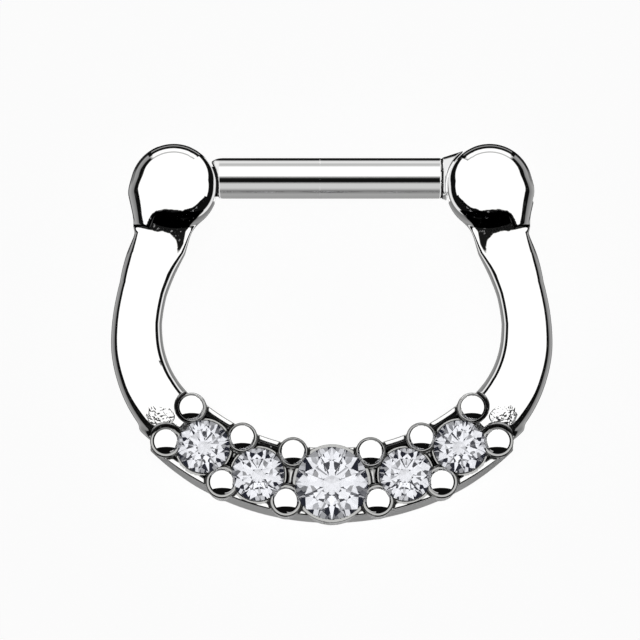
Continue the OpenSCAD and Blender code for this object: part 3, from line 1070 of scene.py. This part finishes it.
# The rooms' shades by direction, as grey values, built in one node tree
class RoomNodes:
    def __init__(self, tree, direction):
        self.tree = tree
        self.toLens = (0, -math.sin(photo["tilt"]), math.cos(photo["tilt"]))
        up = (0, math.cos(photo["tilt"]), math.sin(photo["tilt"]))
        # The mirror slope that shows this direction to the lens
        halfway = self.vector("ADD", direction, self.toLens).outputs[0]
        slant = self.vector("NORMALIZE", halfway).outputs[0]
        self.across = mathNode(tree, "ABSOLUTE", self.dot(slant, (1, 0, 0)))
        self.along = self.dot(slant, up)
        facing = self.dot(slant, self.toLens)
        sunk = mathNode(tree, "MULTIPLY_ADD", facing, mathNode(tree, "MULTIPLY", facing, -1.0), 1.0)
        self.lean = mathNode(tree, "SQRT", sunk)
        self.steep = mathNode(tree, "DIVIDE", self.along, mathNode(tree, "MAXIMUM", self.lean, 0.001))
        self.clutter = noiseNode(tree, slant, ringRoom["clutter"], 3.0)

    def vector(self, operation, *values):
        return addNode(self.tree, "ShaderNodeVectorMath", dict(enumerate(values)), operation=operation)

    def dot(self, a, b):
        return self.vector("DOT_PRODUCT", a, b).outputs["Value"]

    # A soft step from first to last between two places
    def mapped(self, value, places, first=0.0, last=1.0):
        inputs = {"Value": value, 1: places[0], 2: places[1], 3: first, 4: last}
        return addNode(self.tree, "ShaderNodeMapRange", inputs, interpolation_type="SMOOTHSTEP").outputs[0]

    def mixed(self, share, a, b):
        return addNode(self.tree, "ShaderNodeMix", {0: share, 6: a, 7: b}, data_type="RGBA").outputs[2]

    # What the hoop shows: a dark rim at the sides and below, thin lines above
    def ringShade(self):
        tree = self.tree
        turn = between(tree, self.steep, (-1.0, 1.0))
        rimStart = rampNode(tree, turn, ringRoom["rimStart"])
        wave = mathNode(tree, "MULTIPLY_ADD", self.clutter, *ringRoom["wave"])
        low = self.mapped(self.steep, ringRoom["low"], 1.0, 0.0)
        inner = mathNode(tree, "SUBTRACT", self.lean, rimStart)
        inner = mathNode(tree, "MULTIPLY_ADD", wave, low, inner)
        glints = rampNode(tree, self.clutter, ringRoom["glints"])
        rim = self.mixed(self.mapped(inner, ringRoom["rimSoft"]), grey(white), glints)
        outside = rampNode(tree, self.lean, ringRoom["outside"])
        outlined = rampNode(tree, self.lean, ringRoom["outlined"])
        outsideLow = rampNode(tree, self.lean, ringRoom["outsideLow"])
        outside = self.mixed(self.mapped(self.steep, ringRoom["outlinedFrom"]), outside, outlined)
        outside = self.mixed(low, outside, outsideLow)
        rimEnd = mathNode(tree, "MULTIPLY_ADD", low, ringRoom["lowEnd"], self.lean)
        sides = self.mixed(self.mapped(rimEnd, ringRoom["rimEnd"]), rim, outside)
        above = rampNode(tree, self.lean, ringRoom["above"])
        away = mathNode(tree, "SUBTRACT", self.steep, ringRoom["meetAt"])
        meeting = self.mapped(mathNode(tree, "ABSOLUTE", away), ringRoom["meetWidth"])
        nearer = self.mapped(self.lean, ringRoom["meetFrom"], 1.0, 0.0)
        meeting = mathNode(tree, "MAXIMUM", meeting, nearer)
        both = self.mixed(self.mapped(self.steep, ringRoom["aboveFrom"]), sides, above)
        return self.mixed(meeting, grey(black), both)

    # What the bar shows, closed and swung out
    def barShade(self):
        tree = self.tree
        tall = between(tree, self.along, (-1.0, 1.0))
        bands = rampNode(tree, tall, barRoom["bands"])
        below = self.mapped(self.along, barRoom["flareBelow"], 1.0, 0.0)
        flare = mathNode(tree, "MULTIPLY", self.mapped(self.across, barRoom["flareFrom"]), below)
        closed = self.mixed(flare, bands, grey(barRoom["flare"]))
        swung = rampNode(tree, self.lean, barRoom["swung"])
        return self.mixed(self.mapped(self.across, barRoom["swungFrom"]), closed, swung)

    # What the beads show: a pale face with a dark crescent below and a dark edge
    def beadShade(self):
        tree = self.tree
        bow = mathNode(tree, "MULTIPLY", self.across, self.across)
        down = mathNode(tree, "MULTIPLY", self.along, -1.0)
        below = mathNode(tree, "MULTIPLY_ADD", bow, beadRoom["bow"], down)
        crescent = self.mixed(self.mapped(below, beadRoom["crescent"]), grey(white), grey(black))
        turn = between(tree, self.steep, (-1.0, 1.0))
        edge = rampNode(tree, turn, beadRoom["edge"])
        rim = self.mixed(self.mapped(self.lean, beadRoom["edgeFrom"]), crescent, edge)
        outline = grey(beadRoom["outline"])
        return self.mixed(self.mapped(self.lean, beadRoom["outlineFrom"]), rim, outline)

    def stoneShade(self):
        return rampNode(self.tree, self.lean, stoneRoom["facets"])

    def shades(self):
        return {
            "ring": self.ringShade(),
            "bar": self.barShade(),
            "beads": self.beadShade(),
            "stones": self.stoneShade(),
        }

    def sharedShade(self, shades):
        lowest = shades["ring"]
        for name in ("bar", "beads", "stones"):
            lowest = mathNode(self.tree, "MINIMUM", lowest, shades[name])
        return lowest


# Radius of each piece's shell, in metres
shellR = {"ring": 1.5, "bar": 1.8, "beads": 2.4, "stones": 2.1}


# A far shell that adds, for the given pieces alone, what their view of the room has over the shared one
def makeRoomLight(name, pieces):
    bpy.ops.mesh.primitive_ico_sphere_add(subdivisions=4, radius=shellR[name])
    shell = bpy.context.object
    shell.name = name + "_room"
    shell.data.name = name + "_room"
    material, tree = lightMaterial(name + "_room")
    material.cycles.emission_sampling = "NONE"
    direction = addNode(tree, "ShaderNodeVectorMath", {0: placeNode(tree)}, operation="NORMALIZE")
    room = RoomNodes(tree, direction.outputs[0])
    shades = room.shades()
    extra = mathNode(tree, "SUBTRACT", shades[name], room.sharedShade(shades))
    glow = addNode(tree, "ShaderNodeEmission", {"Strength": extra})
    clear = addNode(tree, "ShaderNodeBsdfTransparent")
    both = addNode(tree, "ShaderNodeAddShader", {0: glow.outputs[0], 1: clear.outputs[0]})
    tree.links.new(both.outputs[0], tree.nodes["Material Output"].inputs["Surface"])
    onlyReflected(shell, material)
    receivers = bpy.data.collections.new(name + "_receivers")
    for piece in pieces:
        receivers.objects.link(piece)
    shell.light_linking.receiver_collection = receivers


# A pale tent with dark flags, placed by the mirror slope that shows them in the photo
def makeStudio():
    world = bpy.data.worlds.new("studio")
    bpy.context.scene.world = world
    world.use_nodes = True
    tree = world.node_tree
    direction = addNode(tree, "ShaderNodeTexCoord").outputs["Generated"]
    room = RoomNodes(tree, direction)
    shared = room.sharedShade(room.shades())

    off = mathNode(tree, "ARCCOSINE", room.dot(direction, room.toLens))
    tinted = []
    for degrees, light in stoneRoom["zones"]:
        dark = light < stoneRoom["darkBelow"]
        shade = tuple(light * c + n * dark for c, n in zip(stoneRoom["cool"], stoneRoom["night"]))
        tinted.append((degrees / 180, shade))
    gemRoom = rampNode(tree, mathNode(tree, "DIVIDE", off, math.pi), tinted)
    light = addNode(tree, "ShaderNodeLightPath")
    seen = room.mixed(light.outputs["Is Transmission Ray"], shared, gemRoom)
    seen = room.mixed(light.outputs["Is Camera Ray"], seen, (0.985, 0.985, 0.985, 1))
    tree.links.new(seen, tree.nodes["Background"].inputs["Color"])

    stonePieces = [node for name, node in frame["nodes"].items() if name.endswith("_stone")]
    makeRoomLight("ring", [hoopPiece, frame["nodes"]["hinge_pin"]])
    makeRoomLight("bar", [barPiece])
    makeRoomLight("beads", [beadPiece])
    makeRoomLight("stones", stonePieces)


makeCamera()
makeFloor()
makeDivider()
print("camera, floor and divider made")
makeStudio()
bpy.context.scene.view_settings.view_transform = "Standard"
print("studio made")
